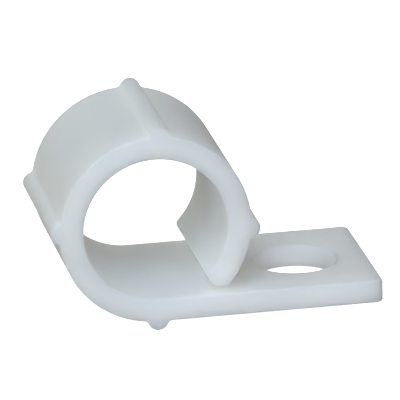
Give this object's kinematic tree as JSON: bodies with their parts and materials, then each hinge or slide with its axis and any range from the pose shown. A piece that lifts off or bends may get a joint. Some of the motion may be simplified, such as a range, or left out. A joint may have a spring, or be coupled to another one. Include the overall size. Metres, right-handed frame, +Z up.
{
  "type": "cable clip",
  "caption": "Moulded open cable clip: a C-shaped ribbed ring that holds a cable and runs into a flat foot with a plain screw hole.",
  "frame": {"origin": "centre of the screw hole on the underside of the foot", "axes": "+X along the foot to its free end, +Y along the cable, +Z up from the mounting surface along the screw hole"},
  "size_m": [0.0184, 0.0096, 0.0116],
  "materials": {
    "nylon": "natural milky nylon, satin as moulded"
  },
  "bodies": {
    "root": {"clip": "nylon"}
  },
  "joints": []
}
